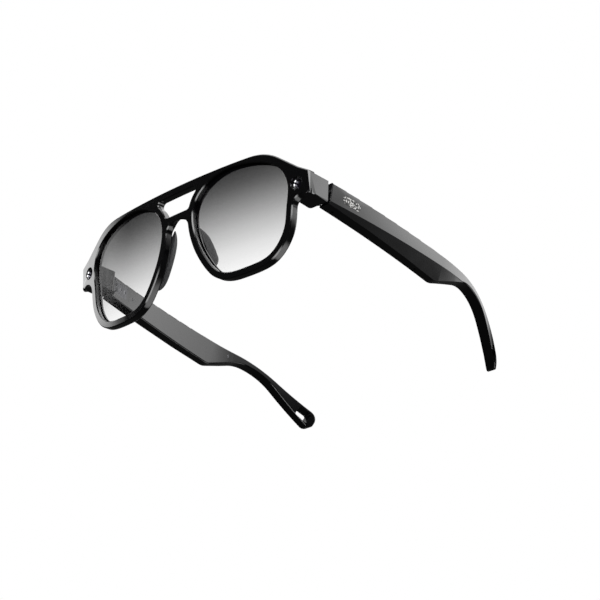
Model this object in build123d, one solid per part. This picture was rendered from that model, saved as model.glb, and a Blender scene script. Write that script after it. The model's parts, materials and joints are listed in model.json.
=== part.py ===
from build123d import *
from math import atan, atan2, cos, degrees, radians, sin, sqrt, tan
import os

# Smart glasses with a double-bridge front and two folding temples.
# Millimetres. The front is drawn in its own frame: X to the wearer's left, Y back, Z up, with the
# origin on the front face at the middle of the bridge. Each temple is drawn in a frame whose Y runs
# along its straight top edge. main() then turns and lifts everything to rest on Z = 0.
# Pieces of the wearer's left side are drawn first, and mirrored for the right.

# ---- Driving sizes: front ----
LENS_W = 51.3            # width of a lens opening
LENS_H = 48.9            # height of a lens opening
BRIDGE_W = 18.7          # least distance between the lens openings
LENS_Z = -1.4            # height of the lens openings' middle
END_W = 11.3             # from the lens opening to the front corner
RIM_W = 3.3              # rim around a lens
RIM_TOP = 2.2            # rim above a lens, under the straight brow
BAR_H = 3.7              # height of the brow bar over the bridge cut-out
BRIDGE_H = 3.6           # height of the lower bridge
BRIDGE_Z = 10.0          # height of the lower bridge's middle
WRAP_R = 333.0           # radius of the front's wrap
FRONT_T = 4.2            # depth of the front
EDGE = 0.45              # polished bevel along the front's edges
SHOULDER_R = 24.0        # round of the brow's outer shoulder
SHOULDER_X = 9.9         # shoulder, in from the lens opening's outer side
ELBOW_X = 5.9            # elbow above the end piece, out from the lens opening's outer side
ELBOW_RISE = 3.2         # elbow above the corner's top
CORNER_TOP = 9.7         # top of the front corner
CORNER_BOTTOM = -0.1     # bottom of the front corner
CORNER_EDGE = 0.8        # polished bevel down each front corner
BACK_ROUND = 1.0         # rounding of the front's outer back edge
END_ROUND = 5.0          # round under the end piece, where it meets the rim
ARCH_ROUND = 4.5         # rounds of the nose arch
CUTOUT_ROUND = 1.7       # rounds of the bridge cut-out
SADDLE_R = 6.4           # hollow under the bridge that clears the nose
SADDLE_START = 1.7       # it starts this far behind the front face
SADDLE_RISE = 0.62       # and rises by this per mm

# ---- Driving sizes: lenses, pads, round ports ----
LENS_SET = 1.5           # lens front behind the front face
LENS_T = 1.9             # lens thickness
GROOVE = 0.6             # depth of the lens groove
FIT = 0.04               # clearance of seated pieces
PAD_H = 29.0             # nose pad height
PAD_W = 3.8              # nose pad width at its foot
PAD_D = 5.4              # nose pad depth
PAD_X = 10.9             # middle of the pad's foot
PAD_Z = -6.5
PAD_LEAN = 24.0          # the pad follows the rim, degrees from upright
BAND_DOWN = 0.95         # middle of the brow's flex channel under the brow's top
BAND_W = 0.7             # channel width
BAND_D = 1.3             # channel depth
PORT_X = 6.2             # port, in from the front corner
PORT_Z = 5.4             # height of the port's middle
PORT_R = 3.1             # port radius at the front face
PORT_NECK_R = 2.5        # port radius behind its chamfer
PORT_CONE = 0.9          # depth of the chamfer
BEZEL_R = 2.0            # opening of the bezel ring
BEZEL_H = 1.0            # depth of the bezel ring
WINDOW_T = 0.7           # window thickness
MODULE_W = 5.2           # side of the camera or indicator module's square body
MODULE_T = 3.2           # its depth

# ---- Driving sizes: end pieces and hinges ----
LUG_W = 10.0             # width of the end piece's lug
LUG_BACK = 19.2          # back face of the lug, at its bottom
LUG_LEAN = 1.2           # the back face leans back by this at the top
LUG_DROP = 0.045         # fall of the lug's top per mm back
LUG_SAG = 0.12           # fall of its bottom per mm back
LUG_EDGE = 0.45          # bevel along the lug's outer edges
LUG_CORNER = 1.4         # rounding of its inner back edge
LUG_WALL = 0.9           # wall around the lug's pocket
LUG_LID_T = 0.9          # end piece cover thickness
PIN_X = 6.8              # hinge axis, in from the lug's outer face
PIN_GAP = 1.4            # hinge axis behind the lug's back face
PIN_R = 0.65             # hinge pin radius
PIN_FIT = 0.04           # radial clearance of the pin in the temple's knuckles
PIN_HEAD_R = 1.15
PIN_HEAD_H = 0.4
KNUCKLE_R = 1.6          # hinge knuckle radius
KNUCKLE_H = 1.35         # hinge knuckle height
KNUCKLE_GAP = 0.12       # gap between knuckles
HINGE_Z = 3.7            # middle of the hinge
LEAF_T = 0.9             # hinge leaf thickness
LEAF_LEN = 9.5           # temple leaf length
LEAF_SIDE = 5.2          # front leaf, out from the hinge axis
HINGE_ROOM = 0.35        # room around the knuckles
SCREW_R = 0.5            # shank of every small screw
SCREW_HEAD_R = 0.95      # its head
SCREW_HEAD_H = 0.4
SCREW_LEN = 2.6

# ---- Driving sizes: temples ----
TEMPLE_LEN = 139.5       # along the top edge, from the front end to the tip
TEMPLE_T = 6.2           # thickness
TIP_T = 4.8              # thickness at the tip
TEMPLE_H = 11.2          # height at the front end
DEEP_Y = 70.0            # deepest point of the housing
DEEP_H = 14.1            # height there
DEEP_ROUND = 7.7
NECK_Y = 92.9            # slim neck behind the housing
NECK_H = 3.3             # height there, before rounding
NECK_ROUND = 20.0
DROP_Y = 103.0           # the top edge turns down here
DROP_ROUND = 60.0
DROP_ANGLE = 26.5        # drop of the tip, degrees
BEND_Y = 108.5           # the bottom edge turns down here
BEND_H = 5.0
BEND_ROUND = 30.0
TIP_H = 9.8              # height of the tip, square to its length
TIP_ROUND = 4.6          # round of the tip's upper corner
TIP_UNDER = 2.8          # round of its lower corner
SPLAY = 4.2              # the temples bow out by this to their widest point
WIDE_Y = 72.5            # widest point
TUCK = 16.8              # the tip tucks in from there by this
SLOPE = 11.0             # fall of the top edge from the front's normal, degrees
GAP_TOP = 4.1            # from the lug's back face to the temple's front end
FRONT_RAKE = -0.7        # the front end's bottom corner, back along the temple
FACET_ANGLE = 13.0       # lean of the outer face's lower facet, degrees
FACET_START = 1.5        # height of its crease over the front end's bottom corner
FACET_RISE = 0.055       # rise of the crease per mm
SIDE_EDGE = 0.6          # rounding of the long edges
WALL = 1.2               # shell wall behind the outer face
RIM_WALL = 1.5           # shell wall above and below the cavity
LID_T = 1.0              # inner cover thickness
LID_EDGE = 0.75          # shell left above and below the inner cover
LID_END = 5.0            # the cover reaches past the cavity's ends by this
CAVITY_START = 16.0      # front end of the housing's cavity
CAVITY_END = 82.0        # its back end
SLOT_LEN = 7.2           # slot through the tip
SLOT_H = 5.6             # its height at the front
SLOT_H_BACK = 6.6        # and at the back
SLOT_END = 3.2           # solid left behind the slot
SLOT_TOP = 1.6           # solid left above it
SLOT_ROUND = 0.8
SLOT_ROUND_BACK = 1.2

# ---- Driving sizes: pieces in the temples ----
BATTERY = (2.0, 34.0, 6.6)         # thickness, length, height
BATTERY_Z = -6.0
BATTERY_DEPTH = 3.9
BOARD = (0.7, 36.0, 6.6)
BOARD_Z = -6.2
BOARD_DEPTH = 4.2
CHIP = (0.9, 6.0, 4.0)
SPEAKER = (2.0, 11.0, 5.0)
SPEAKER_Z = -4.6
MID_DEPTH = 3.2          # middle of the cavity, inside the outer face
PORT_HOLE_R = 0.5        # sound hole radius
PORT_DEPTH = 3.8         # sound holes, inside the outer face
PORT_FRONT = 4.8         # front sound hole
PORT_REAR = 57.7         # rear sound hole
CONTACT_R = 0.7
CONTACT_Y = 66.0
CONTACT_Z = -7.0
MESH_LEN = 8.0           # speaker mesh in the top edge
MESH_W = 1.6
MESH_T = 0.4
MESH_Y = 74.0
BUTTON_LEN = 9.0         # capture button
BUTTON_W = 2.6
BUTTON_Y = 14.0
BUTTON_H = 2.2
BUTTON_PROUD = 0.5       # it stands this far out of the top edge
BUTTON_TRAVEL = 0.3
SWITCH_LEN = 4.0         # power switch
SWITCH_H = 2.0
SWITCH_Y = 20.0
SWITCH_Z = -5.0
SWITCH_TRAVEL = 2.0
SWITCH_PROUD = 0.5
SLIDE_ROOM = 0.12        # room around the button and the switch
EMBLEM_Y = 11.8          # emblem inlay on the outer face
EMBLEM_Z = -4.9
EMBLEM_LEN = 10.4
EMBLEM_H = 4.2
EMBLEM_T = 0.35
CORE_W = 1.2             # core wire in the tip
CORE_H = 1.1

REST_FLAT = 0.15         # depth of the small flats that the glasses rest on

BIG = 200.0              # longer than the whole object
TILT_STEPS = 5           # rounds that level the rims' and tips' lowest points

# ---- Worked out from the driving sizes ----
LENS_CX = (BRIDGE_W + LENS_W) / 2
LENS_OUT = BRIDGE_W / 2 + LENS_W
FRONT_HALF = LENS_OUT + END_W
BROW_Z = LENS_Z + LENS_H / 2 + RIM_TOP
LUG_IN = FRONT_HALF - LUG_W
PORT_CX = FRONT_HALF - PORT_X
AXIS_X = FRONT_HALF - PIN_X
AXIS_Y = LUG_BACK + PIN_GAP
HINGE_H = 5 * KNUCKLE_H + 4 * KNUCKLE_GAP
POCKET_BACK = LUG_BACK - 3.8


def wrap_y(x, depth=0.0):
    """Y of the wrapped surface that lies depth behind the front face, at x."""
    radius = WRAP_R - depth
    return WRAP_R - sqrt(radius * radius - x * x)


CORNER_Y = wrap_y(FRONT_HALF)
TEMPLE_Y0 = LUG_BACK + GAP_TOP
TEMPLE_Z0 = CORNER_TOP - LUG_DROP * (TEMPLE_Y0 - CORNER_Y)


def both_sides(shape):
    """The shape and its mirror image, as (side, solid) pairs: left first."""
    return ((1, shape), (-1, mirror(shape, about=Plane.YZ)))


def upright(sketch, depth=BIG):
    """A sketch drawn in X and Z, pushed back along Y from the front."""
    return extrude(Plane.XZ * sketch, amount=-depth)


def box_between(low, high):
    """A box from its low corner to its high corner."""
    size = [high[i] - low[i] for i in range(3)]
    middle = [(high[i] + low[i]) / 2 for i in range(3)]
    return Pos(*middle) * Box(*size)


def rod(start, direction, radius, length):
    """A cylinder from start, along direction."""
    plane = Plane(origin=start, z_dir=direction)
    return plane * Cylinder(radius, length, align=(Align.CENTER, Align.CENTER, Align.MIN))


def screw(seat, direction):
    """A small screw whose head is sunk flush: seat is the head's top, direction points into the wall."""
    head = rod(seat, direction, SCREW_HEAD_R, SCREW_HEAD_H)
    slot = Plane(origin=seat, z_dir=direction) * Box(2 * SCREW_HEAD_R, 0.3, 0.3)
    return head + rod(seat, direction, SCREW_R, SCREW_LEN) - slot


def screw_hole(seat, direction):
    """The hole that the screw fills."""
    return rod(seat, direction, SCREW_HEAD_R, SCREW_HEAD_H) + rod(seat, direction, SCREW_R, SCREW_LEN)


# ---- Front ----
# The lens outline as shares of its half width and half height: a navigator shape,
# with a flat top, a steep outer side and a long slant towards the nose.
LENS_SHAPE = [(1.0, 0.05), (0.83, 0.71), (0.22, 0.98), (-0.476, 0.953), (-0.93, 0.58), (-0.935, 0.0),
              (-0.667, -0.605), (-0.38, -0.93), (0.21, -1.0), (0.62, -0.91), (0.91, -0.52)]
OUTLINE_POINTS = 24      # points that a grown outline is drawn through


def lens_face(grow=0.0):
    """The left lens outline in X and Z, grown outwards by grow."""
    points = [(LENS_CX + u * LENS_W / 2, LENS_Z + v * LENS_H / 2) for u, v in LENS_SHAPE]
    curve = Spline(*points, periodic=True)
    if grow:
        shares = [index / OUTLINE_POINTS for index in range(OUTLINE_POINTS)]
        outwards = [(curve % share).rotate(Axis.Z, -90) for share in shares]
        curve = Spline(*[(curve @ share) + grow * out for share, out in zip(shares, outwards)], periodic=True)
    return make_face(curve)


def brow_mask():
    """Everything under the front's top outline, in X and Z."""
    right = [(LENS_OUT - SHOULDER_X, BROW_Z), (LENS_OUT + ELBOW_X, CORNER_TOP + ELBOW_RISE),
             (FRONT_HALF, CORNER_TOP), (FRONT_HALF, -BIG / 2)]
    left = [(-x, z) for x, z in reversed(right)]
    mask = make_face(Polyline(*(left + right), close=True))
    for x, z, r in ((right[0][0], right[0][1], SHOULDER_R), (right[1][0], right[1][1], SHOULDER_R / 3)):
        for side in (1, -1):
            corner = min(mask.vertices(), key=lambda v: abs(v.X - side * x) + abs(v.Y - z))
            mask = fillet(corner, r)
    return mask


def wrapped(sketch, near, far):
    """A sketch in X and Z, as a wrapped plate from near to far behind the front face."""
    slab = Cylinder(WRAP_R - near, BIG) - Cylinder(WRAP_R - far, BIG)
    return upright(sketch, BIG / 2) & (Pos(0, WRAP_R, 0) * slab)


def round_uprights(solid, corners):
    """Round the edges that run front to back at the given (x, z, radius) corners, on both sides."""
    for x, z, radius in corners:
        for side in (1, -1):
            edges = [e for e in solid.edges() if abs(e.tangent_at(0.5).Y) > 0.95]
            edge = min(edges, key=lambda e: abs(e.center().X - side * x) + abs(e.center().Z - z))
            solid = fillet(edge, radius)
    return solid


def front_blank():
    """Rims, brow bar, lower bridge and end pieces, before rounding."""
    rims = lens_face(RIM_W)
    bar = Pos(0, BROW_Z - BAR_H / 2) * Rectangle(2 * LENS_CX, BAR_H)
    bridge = Pos(0, BRIDGE_Z) * Rectangle(BRIDGE_W, BRIDGE_H)
    end = Pos((LENS_CX + FRONT_HALF) / 2, (BROW_Z + CORNER_BOTTOM) / 2) * Rectangle(
        FRONT_HALF - LENS_CX, BROW_Z - CORNER_BOTTOM)
    plate = bar + bridge
    for part in (rims, end):
        plate = plate + part + mirror(part, about=Plane.YZ)
    plate = plate & brow_mask()
    for side, lens in both_sides(lens_face()):
        plate = plate - lens
    return wrapped(plate, 0, FRONT_T)


def lug():
    """The left end piece's lug: it runs back from the front to the hinge, falling a little."""
    length = LUG_BACK - CORNER_Y
    side = make_face(Polyline((CORNER_Y, CORNER_BOTTOM), (CORNER_Y, CORNER_TOP),
                              (LUG_BACK + LUG_LEAN, CORNER_TOP - LUG_DROP * (length + LUG_LEAN)),
                              (LUG_BACK, CORNER_BOTTOM - LUG_SAG * length), close=True))
    block = Pos(LUG_IN, 0, 0) * extrude(Plane.YZ * side, amount=LUG_W)
    back = block.faces().sort_by(Axis.Y)[-1]
    inner = back.edges().sort_by(Axis.X)[0]
    return fillet(inner, LUG_CORNER)


def lug_pocket():
    """The pocket in the lug that holds the module, open towards the lens."""
    half = MODULE_W / 2 + 0.15
    front = wrap_y(PORT_CX) + PORT_CONE + BEZEL_H + WINDOW_T + 0.1
    return box_between((LUG_IN, front, PORT_Z - half), (PORT_CX + half, POCKET_BACK, PORT_Z + half))


def lug_lid(room=0.0):
    """The cover over the pocket, flush with the lug's inner side."""
    half = MODULE_W / 2 + 0.5
    front = wrap_y(LUG_IN) + FRONT_T + 0.5
    return box_between((LUG_IN - room, front - room, PORT_Z - half - room),
                       (LUG_IN + LUG_LID_T, POCKET_BACK + 0.6 + room, PORT_Z + half + room))


def port_disc(near, far, radius, tip_radius=None):
    """A disc or cone in the round port, from near to far behind the front face."""
    place = Pos(PORT_CX, wrap_y(PORT_CX) + near, PORT_Z) * Rot(-90, 0, 0)
    grounded = (Align.CENTER, Align.CENTER, Align.MIN)
    if tip_radius is None:
        return place * Cylinder(radius, far - near, align=grounded)
    return place * Cone(radius, tip_radius, far - near, align=grounded)


def bezel():
    """The ring at the bottom of the port's chamfer."""
    ring = port_disc(PORT_CONE, PORT_CONE + BEZEL_H, PORT_NECK_R - FIT)
    ring = ring - port_disc(PORT_CONE, PORT_CONE + BEZEL_H, BEZEL_R)
    inner = ring.edges().filter_by(GeomType.CIRCLE).sort_by(Axis.Y)[0:2].sort_by(SortBy.LENGTH)[0]
    return chamfer(inner, 0.3)


def window():
    """The dark window behind the bezel."""
    near = PORT_CONE + BEZEL_H
    return port_disc(near, near + WINDOW_T, PORT_NECK_R - FIT)


def module():
    """The camera or indicator: a barrel behind the window on a square body."""
    near = PORT_CONE + BEZEL_H + WINDOW_T
    barrel = port_disc(near + 0.05, near + 1.6, BEZEL_R)
    y = wrap_y(PORT_CX) + near + 1.5
    half = MODULE_W / 2
    body = box_between((PORT_CX - half, y, PORT_Z - half), (PORT_CX + half, y + MODULE_T, PORT_Z + half))
    return barrel + body


def band(width):
    """The strip along the brow from one lug to the other, in X and Z."""
    side = [(LENS_OUT - SHOULDER_X - 8.0, BROW_Z - BAND_DOWN),
            (LENS_OUT - SHOULDER_X + 0.8, BROW_Z - BAND_DOWN - 1.7),
            (LENS_OUT + ELBOW_X - 5.2, CORNER_TOP + ELBOW_RISE + 1.6),
            (PORT_CX - 1.4, PORT_Z + 2.2)]
    return trace(Polyline(*([(-x, z) for x, z in reversed(side)] + side)), width)


def nose_pad():
    """A soft crescent on the back of the rim, leaning away from the nose as it goes back."""
    sections = []
    for share, width, height, lean in ((-0.1, 1.0, 1.0, 0.0), (0.45, 0.92, 0.86, 0.9), (0.8, 0.7, 0.68, 1.8),
                                       (1.0, 0.35, 0.5, 2.4)):
        y = wrap_y(PAD_X) + FRONT_T + share * PAD_D
        place = Pos(PAD_X + lean, y, PAD_Z) * Rot(90, 0, 0) * Rot(0, 0, PAD_LEAN)
        sections.append(place * Ellipse(width * PAD_W / 2, height * PAD_H / 2))
    return loft(sections) & (Pos(0, WRAP_R, 0) * Cylinder(WRAP_R - FRONT_T, BIG))


# ---- Hinge ----
def knuckle(index, radius):
    """One of the five knuckles, counted from the bottom, as a solid cylinder of this radius."""
    z = HINGE_Z - HINGE_H / 2 + index * (KNUCKLE_H + KNUCKLE_GAP)
    return Pos(AXIS_X, AXIS_Y, z) * Cylinder(radius, KNUCKLE_H, align=(Align.CENTER, Align.CENTER, Align.MIN))


def front_leaf():
    """The leaf in the lug's back face, with knuckles 0, 2 and 4."""
    back = AXIS_Y - KNUCKLE_R - HINGE_ROOM
    low = HINGE_Z - HINGE_H / 2
    leaf = box_between((LUG_IN + 0.6, back - LEAF_T, low), (AXIS_X + LEAF_SIDE, back, low + HINGE_H))
    for index in (0, 2, 4):
        z = low + index * (KNUCKLE_H + KNUCKLE_GAP)
        web = box_between((AXIS_X - 0.9, back, z), (AXIS_X + 0.9, AXIS_Y, z + KNUCKLE_H))
        leaf = leaf + knuckle(index, KNUCKLE_R) + web - knuckle(index, PIN_R)
    for seat in front_leaf_seats():
        leaf = leaf - screw_hole(seat, (0, -1, 0))
    return leaf


def front_leaf_seats():
    """Where the front leaf's screws sit."""
    back = AXIS_Y - KNUCKLE_R - HINGE_ROOM
    return [(AXIS_X + LEAF_SIDE - 1.6, back, HINGE_Z + dz) for dz in (-2.1, 2.1)]


def front_leaf_room():
    """The recess for the front leaf, open at the lug's back face."""
    back = AXIS_Y - KNUCKLE_R - HINGE_ROOM
    low = HINGE_Z - HINGE_H / 2 - FIT
    high = HINGE_Z + HINGE_H / 2 + PIN_HEAD_H + PIN_FIT
    return box_between((LUG_IN + 0.6 - FIT, back - LEAF_T, low), (AXIS_X + LEAF_SIDE + FIT, BIG, high))


def hinge_pin():
    """The pin with its low head on top."""
    low = HINGE_Z - HINGE_H / 2
    shank = rod((AXIS_X, AXIS_Y, low), (0, 0, 1), PIN_R, HINGE_H)
    return shank + rod((AXIS_X, AXIS_Y, low + HINGE_H), (0, 0, 1), PIN_HEAD_R, PIN_HEAD_H)


# ---- Temples, drawn along their straight top edge ----
WIDE_X = FRONT_HALF + SPLAY
BOW_R = (WIDE_Y ** 2 + SPLAY ** 2) / (2 * SPLAY)
TAIL = TEMPLE_LEN - WIDE_Y
TUCK_R = (TAIL ** 2 + TUCK ** 2) / (2 * TUCK)
INNER_TUCK = TUCK - TEMPLE_T + TIP_T
INNER_TUCK_R = (TAIL ** 2 + INNER_TUCK ** 2) / (2 * INNER_TUCK)
TEMPLE_FRAME = Pos(0, TEMPLE_Y0, TEMPLE_Z0) * Rot(-SLOPE, 0, 0)


def bow_x(y, depth=0.0):
    """X of the housing's bowed surface that lies depth inside the outer face."""
    radius = BOW_R - depth
    return WIDE_X - BOW_R + sqrt(radius * radius - (WIDE_Y - y) ** 2)


def bow_turn(y):
    """Turn about Z that lines a straight piece up with the bow at y, degrees."""
    return -degrees(atan2(WIDE_Y - y, BOW_R))


def tuck_x(y, depth):
    """X behind the widest point, on the arc depth inside the outer face at the housing."""
    share = depth / TEMPLE_T
    radius = TUCK_R + share * (INNER_TUCK_R - TUCK_R)
    return WIDE_X - depth - radius + sqrt(radius * radius - (y - WIDE_Y) ** 2)


def strip(near, far):
    """The temple's plan from near to far inside the outer face, pushed up and down."""
    ends = (-3.0, TEMPLE_LEN + 3.0)
    middle = (ends[0] + WIDE_Y) / 2
    behind = (ends[1] + WIDE_Y) / 2
    sides = []
    for depth in (near, far):
        sides.append(ThreePointArc((bow_x(ends[0], depth), ends[0]), (bow_x(middle, depth), middle),
                                   (WIDE_X - depth, WIDE_Y)))
        sides.append(ThreePointArc((WIDE_X - depth, WIDE_Y), (tuck_x(behind, depth), behind),
                                   (tuck_x(ends[1], depth), ends[1])))
    closing = [Line(sides[0] @ 0, sides[2] @ 0), Line(sides[1] @ 1, sides[3] @ 1)]
    return extrude(make_face(Wire(sides + closing)), amount=BIG / 2, both=True)


def side_view(sketch):
    """A sketch drawn in Y and Z, pushed through the temple along X."""
    return extrude(Plane.YZ * sketch, amount=BIG)


def tip_point(back, down):
    """A point in the side view, given along the tip from its upper corner and square to its top edge."""
    along = (cos(radians(DROP_ANGLE)), -sin(radians(DROP_ANGLE)))
    corner = (TEMPLE_LEN, (TEMPLE_LEN - DROP_Y) * along[1] / along[0])
    return (corner[0] + back * along[0] + down * along[1], corner[1] + back * along[1] - down * along[0])


def temple_profile():
    """The temple's side view: straight top, deep housing, slim neck and dropped tip."""
    tip_top = tip_point(0, 0)
    tip_bottom = tip_point(0.9, TIP_H)
    points = [(0, 0), (DROP_Y, 0), tip_top, tip_bottom, (BEND_Y, -BEND_H), (NECK_Y, -NECK_H), (DEEP_Y, -DEEP_H),
              (FRONT_RAKE, -TEMPLE_H)]
    rounds = {1: DROP_ROUND, 2: TIP_ROUND, 3: TIP_UNDER, 4: BEND_ROUND, 5: NECK_ROUND, 6: DEEP_ROUND}
    face = make_face(Polyline(*points, close=True))
    for index, radius in rounds.items():
        point = points[index]
        corner = min(face.vertices(), key=lambda v: abs(v.X - point[0]) + abs(v.Y - point[1]))
        face = fillet(corner, radius)
    return face


def crease_z(y):
    """Height of the outer face's crease."""
    return -TEMPLE_H + FACET_START + FACET_RISE * y


def facet(depth=0.0):
    """What the lower facet takes off, depth inside it."""
    low = -2 * DEEP_H
    sections = []
    for y in (-2.0, WIDE_Y / 3, 2 * WIDE_Y / 3, WIDE_Y, (WIDE_Y + NECK_Y) / 2, NECK_Y + 8.0):
        x = (bow_x(y) if y <= WIDE_Y else tuck_x(y, 0)) - depth
        crease = crease_z(y)
        foot = x - (crease - low) * tan(radians(FACET_ANGLE))
        outline = [(x, crease), (foot, low), (x + 9, low), (x + 9, crease)]
        sections.append(Plane((0, y, 0), x_dir=(1, 0, 0), z_dir=(0, -1, 0)) * make_face(Polyline(*outline, close=True)))
    return loft(sections, ruled=True)


def temple_solid():
    """The whole temple before it is hollowed: its long edges are rounded, then the facet is cut."""
    body = strip(0, TEMPLE_T) & side_view(temple_profile())
    edges = [e for e in body.edges() if abs(e.tangent_at(0.5).X) < 0.7]
    return fillet(edges, SIDE_EDGE) - facet()


def seated(y, z, depth, size):
    """A straight box in the temple, its middle at y, z and depth inside the outer face, turned with the bow."""
    return Pos(bow_x(y, depth), y, z) * Rot(0, 0, bow_turn(y)) * Box(*size)


def slab(y_range, z_range, near, far):
    """A bowed plate between two depths, over a rectangle of the side view."""
    low, high = (y_range[0], z_range[0]), (y_range[1], z_range[1])
    face = Pos((low[0] + high[0]) / 2, (low[1] + high[1]) / 2) * Rectangle(high[0] - low[0], high[1] - low[1])
    return strip(near, far) & side_view(face)


def floor_lines():
    """The housing's two straight bottom edges, as (slope, height at Y = 0)."""
    front = (TEMPLE_H - DEEP_H) / (DEEP_Y - FRONT_RAKE)
    back = (DEEP_H - NECK_H) / (NECK_Y - DEEP_Y)
    return (front, -TEMPLE_H - front * FRONT_RAKE), (back, -DEEP_H - back * DEEP_Y)


def inset_profile(margin, start, end):
    """The housing's side view from start to end, brought in by margin above and below."""
    lines = [(slope, height + margin * sqrt(1 + slope * slope)) for slope, height in floor_lines()]
    deep_y = (lines[0][1] - lines[1][1]) / (lines[1][0] - lines[0][0])
    deep = (deep_y, lines[0][0] * deep_y + lines[0][1])
    points = [(start, -margin), (end, -margin), (end, lines[1][0] * end + lines[1][1]), deep,
              (start, lines[0][0] * start + lines[0][1])]
    face = make_face(Polyline(*points, close=True))
    corner = min(face.vertices(), key=lambda v: abs(v.X - deep[0]) + abs(v.Y - deep[1]))
    return fillet(corner, DEEP_ROUND - margin)


def cavity():
    """The hollow that holds the electronics."""
    space = strip(WALL, TEMPLE_T) & side_view(inset_profile(RIM_WALL, CAVITY_START, CAVITY_END))
    return space - facet(WALL / cos(radians(FACET_ANGLE)))


def lid_shape(room=0.0):
    """The inner cover's outline, brought in by room."""
    face = inset_profile(LID_EDGE + room, CAVITY_START - LID_END + room, CAVITY_END + LID_END - room)
    return strip(TEMPLE_T - LID_T, TEMPLE_T) & side_view(face)


def lid_screw_seats():
    """Where the inner cover's two screws sit, on the temple's inner face."""
    seats = []
    for y, z in ((CAVITY_START - LID_END / 2, -TEMPLE_H / 2), (CAVITY_END + LID_END / 2 - 0.6, -3.6)):
        x = bow_x(y, TEMPLE_T) if y < WIDE_Y else tuck_x(y, TEMPLE_T)
        seats.append((x, y, z))
    return seats


def emblem(room=0.0):
    """A plain pill-shaped inlay in the outer face."""
    pill = Pos(EMBLEM_Y, EMBLEM_Z) * SlotOverall(EMBLEM_LEN + 2 * room, EMBLEM_H + 2 * room)
    return strip(-0.05 if room == 0 else -1.0, EMBLEM_T) & side_view(pill)


def core_path(width):
    """The core wire's strip in the side view, down the middle of the neck and tip."""
    start = CAVITY_END + LID_END + 2.0
    points = [(start, -2.3), (DROP_Y - 3.0, -2.6), (BEND_Y, -4.7), tip_point(-SLOT_END - SLOT_LEN - 5.0, TIP_H * 0.38)]
    return trace(Polyline(*points), width)


def core_wire(room=0.0):
    """The flat wire that stiffens the tip."""
    middle = (TEMPLE_T + TIP_T) / 4
    return (strip(middle - CORE_W / 2 - room, middle + CORE_W / 2 + room)
            & side_view(core_path(CORE_H + 2 * room)))


def tip_slot():
    """The slot through the tip, taller and rounder towards the end."""
    front = -SLOT_END - SLOT_LEN
    corners = [tip_point(front, SLOT_TOP), tip_point(-SLOT_END, SLOT_TOP),
               tip_point(-SLOT_END, SLOT_TOP + SLOT_H_BACK), tip_point(front, SLOT_TOP + SLOT_H)]
    slot = make_face(Polyline(*corners, close=True))
    for corner, radius in zip(corners, (SLOT_ROUND, SLOT_ROUND_BACK, SLOT_ROUND_BACK, SLOT_ROUND)):
        vertex = min(slot.vertices(), key=lambda v: abs(v.X - corner[0]) + abs(v.Y - corner[1]))
        slot = fillet(vertex, radius)
    return side_view(slot)


def sound_port(y):
    """A round sound hole down through the housing's bottom edge."""
    return Pos(bow_x(y, PORT_DEPTH), y, -DEEP_H) * Cylinder(PORT_HOLE_R, DEEP_H)


def sound_duct():
    """The duct from the front sound hole back to the cavity."""
    z = -TEMPLE_H + 1.0
    return slab((PORT_FRONT - 0.6, CAVITY_START + 1.0), (z - 0.5, z + 0.5), PORT_DEPTH - 0.6, PORT_DEPTH + 0.6)


def top_slot(y, length, width, depth, middle):
    """A straight pocket cut down into the top edge."""
    return seated(y, -depth / 2 + 1.0, middle, (width, length, depth + 2.0))


def temple_leaf(room=0.0):
    """The temple's hinge leaf in the front's frame: knuckles 1 and 3 on a plate in the inner face."""
    plate = slab((0.7 - room, LEAF_LEN + room), (-8.2 - room, -1.7 + room), TEMPLE_T - LEAF_T - room, TEMPLE_T)
    leaf = TEMPLE_FRAME * plate - hinge_room()
    for index in (1, 3):
        z = HINGE_Z - HINGE_H / 2 + index * (KNUCKLE_H + KNUCKLE_GAP)
        web = box_between((AXIS_X, AXIS_Y, z - room),
                          (AXIS_X + KNUCKLE_R + room, TEMPLE_Y0 + 1.0 + room, z + KNUCKLE_H + room))
        leaf = leaf + knuckle(index, KNUCKLE_R) + web
        leaf = leaf - knuckle(index, PIN_R + PIN_FIT)
    return leaf


def leaf_seats():
    """Where the temple leaf's two screws sit."""
    return [(bow_x(y, TEMPLE_T), y, -5.0) for y in (LEAF_LEN - 4.8, LEAF_LEN - 1.7)]


def hinge_room():
    """The room that the temple leaves around the knuckles, in the front's frame."""
    height = HINGE_H + 2 * 0.9
    return Pos(AXIS_X, AXIS_Y, HINGE_Z) * Cylinder(KNUCKLE_R + HINGE_ROOM, height)


def temple_shell(kind):
    """The hollowed temple. kind is left or right: they hold different pieces."""
    shell = temple_solid() - cavity() - lid_shape() - emblem(FIT) - core_wire(FIT) - tip_slot()
    shell = shell - sound_duct() - sound_port(PORT_FRONT) - sound_port(PORT_REAR)
    shell = shell - top_slot(MESH_Y, MESH_LEN, MESH_W, RIM_WALL + 0.2, MID_DEPTH)
    shell = shell - top_slot(MESH_Y, MESH_LEN + 2 * FIT + 0.8, MESH_W + 2 * FIT + 0.6, MESH_T, MID_DEPTH)
    for seat in leaf_seats() + lid_screw_seats():
        shell = shell - screw_hole(seat, (1, 0, 0))
    if kind == "right":
        room = 2 * SLIDE_ROOM
        shell = shell - top_slot(BUTTON_Y, BUTTON_LEN + room, BUTTON_W + room, 1.1, MID_DEPTH)
        shell = shell - seated(BUTTON_Y, -2.35, MID_DEPTH, (BUTTON_W + 0.8 + room, BUTTON_LEN + 1.2 + room, 2.7))
    shell = TEMPLE_FRAME * shell
    return shell - hinge_room() - temple_leaf(FIT)


def mesh():
    """The speaker mesh, set flush in the top edge."""
    plate = seated(MESH_Y, -MESH_T / 2, MID_DEPTH, (MESH_W + 0.6, MESH_LEN + 0.8, MESH_T))
    for index in range(-3, 4):
        plate = plate - seated(MESH_Y + index * 1.1, -MESH_T / 2, MID_DEPTH, (MESH_W - 0.4, 0.5, 1.0))
    return plate


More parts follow.
